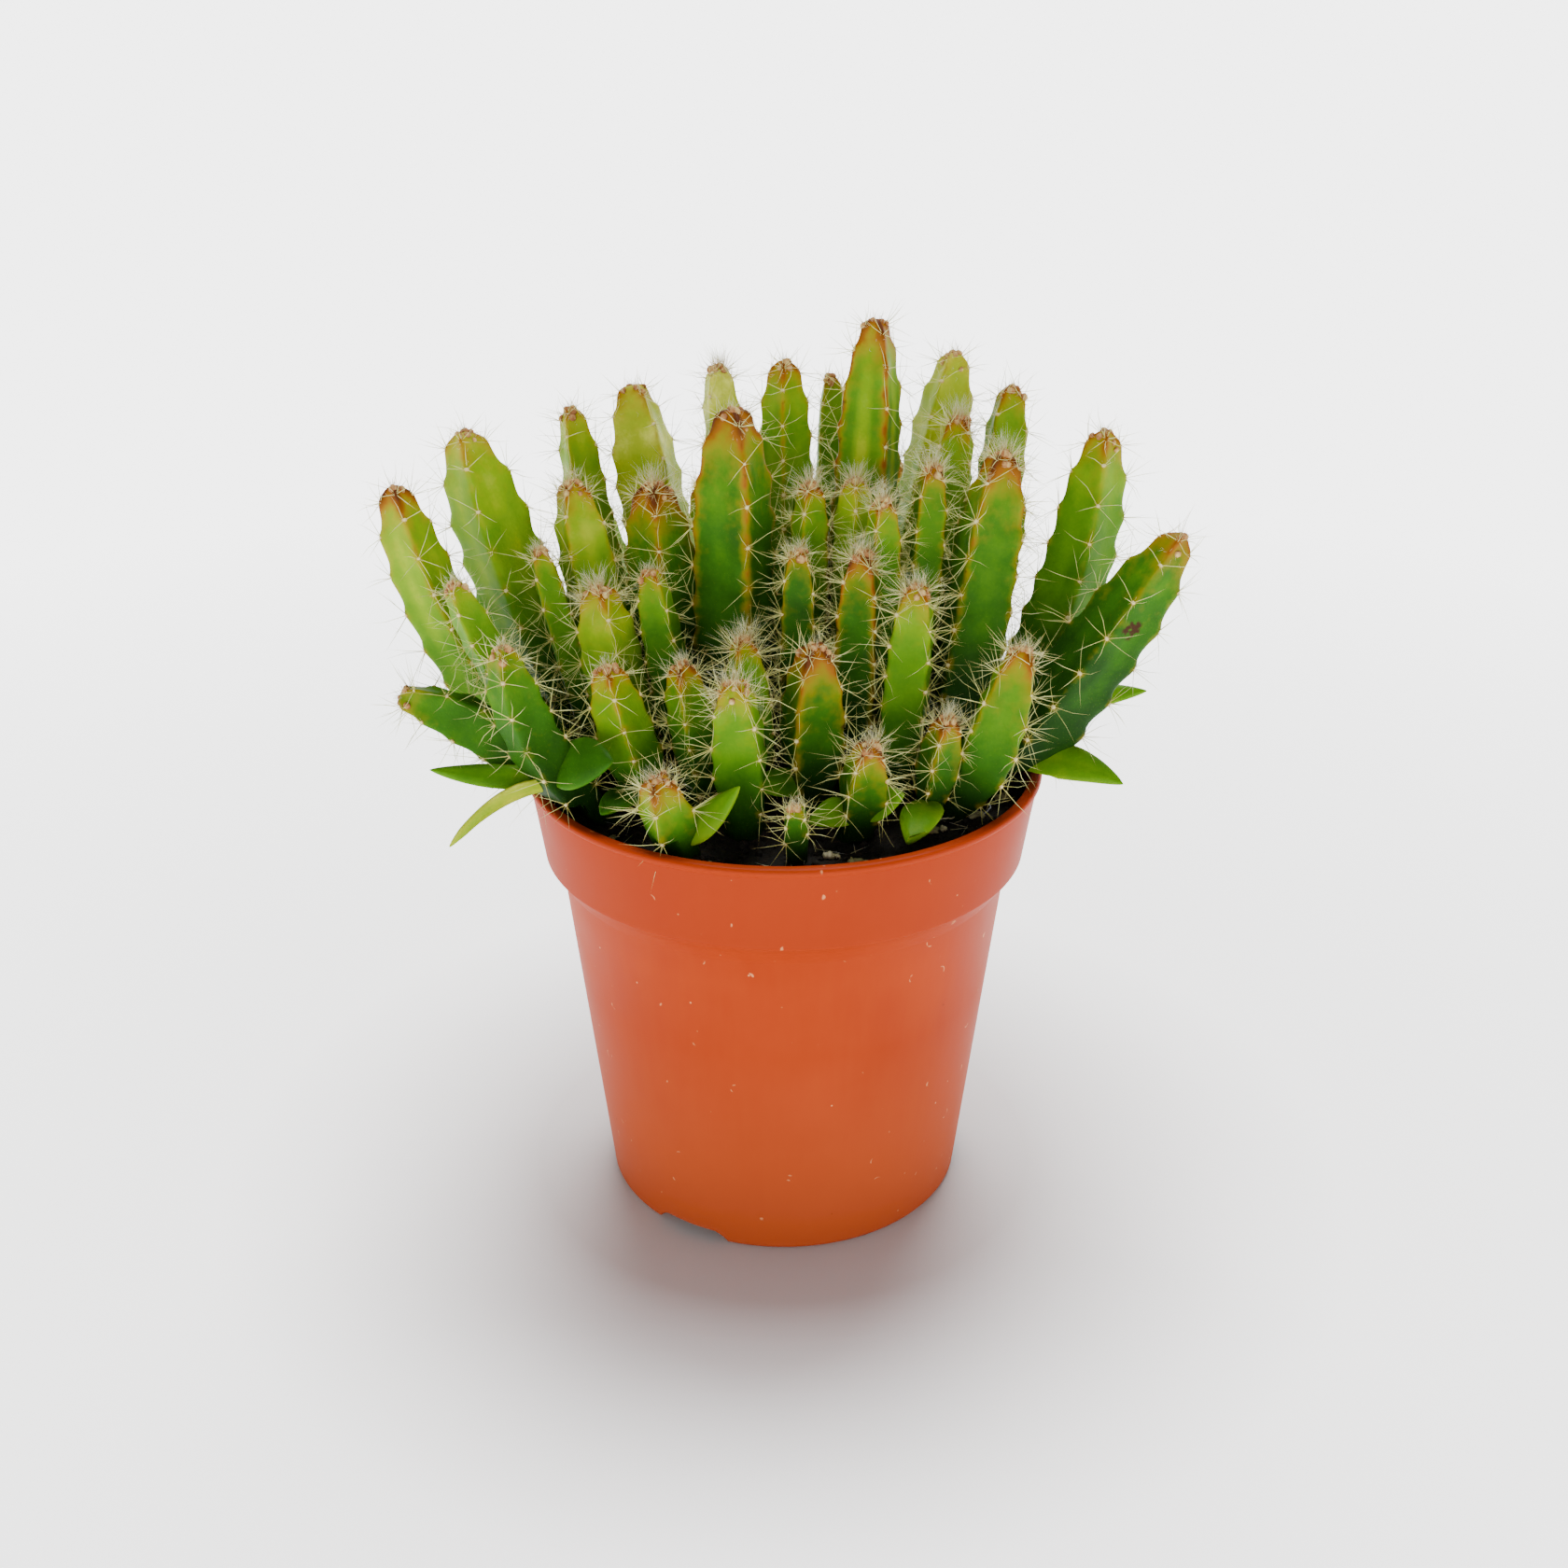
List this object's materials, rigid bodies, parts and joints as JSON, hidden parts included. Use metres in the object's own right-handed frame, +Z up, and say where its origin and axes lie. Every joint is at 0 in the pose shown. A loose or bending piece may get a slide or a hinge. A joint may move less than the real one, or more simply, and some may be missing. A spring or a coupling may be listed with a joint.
{
  "type": "potted dragon fruit cactus",
  "caption": "Dense clump of young ribbed dragon fruit cacti with radiating spines and fleshy seed leaves, growing in peat in a round tapered plastic grower pot.",
  "frame": {"origin": "middle of the pot's underside, on the surface that it stands on", "axes": "+Z up; +Y away from the front of the picture; +X to the right"},
  "size_m": [0.1329, 0.1014, 0.1481],
  "materials": {
    "pot_plastic": "satin terracotta-coloured polypropylene, lightly scuffed",
    "peat": "moist, crumbly, near-black peat",
    "cactus_flesh": "fleshy green skin, orange-brown on young rib edges and tops, with pale yellow spines"
  },
  "bodies": {
    "root": {"pot": "pot_plastic", "soil": "peat", "seedling_01": "cactus_flesh", "seedling_02": "cactus_flesh", "seedling_03": "cactus_flesh", "seedling_04": "cactus_flesh", "seedling_05": "cactus_flesh", "seedling_06": "cactus_flesh", "seedling_07": "cactus_flesh", "seedling_08": "cactus_flesh", "seedling_09": "cactus_flesh", "seedling_10": "cactus_flesh", "seedling_11": "cactus_flesh", "seedling_12": "cactus_flesh", "seedling_13": "cactus_flesh", "seedling_14": "cactus_flesh", "seedling_15": "cactus_flesh", "seedling_16": "cactus_flesh", "seedling_17": "cactus_flesh", "seedling_18": "cactus_flesh", "seedling_19": "cactus_flesh", "seedling_20": "cactus_flesh", "seedling_21": "cactus_flesh", "seedling_22": "cactus_flesh", "seedling_23": "cactus_flesh", "seedling_24": "cactus_flesh", "seedling_25": "cactus_flesh", "seedling_26": "cactus_flesh", "seedling_27": "cactus_flesh", "seedling_28": "cactus_flesh", "seedling_29": "cactus_flesh", "seedling_30": "cactus_flesh", "seedling_31": "cactus_flesh", "seedling_32": "cactus_flesh", "seedling_33": "cactus_flesh", "seedling_34": "cactus_flesh", "seedling_35": "cactus_flesh", "seedling_36": "cactus_flesh", "seedling_37": "cactus_flesh", "seedling_38": "cactus_flesh", "seedling_39": "cactus_flesh", "seedling_40": "cactus_flesh", "seedling_41": "cactus_flesh", "seedling_42": "cactus_flesh", "seedling_43": "cactus_flesh", "seedling_44": "cactus_flesh", "seedling_45": "cactus_flesh", "seedling_46": "cactus_flesh", "seedling_47": "cactus_flesh"}
  },
  "joints": []
}
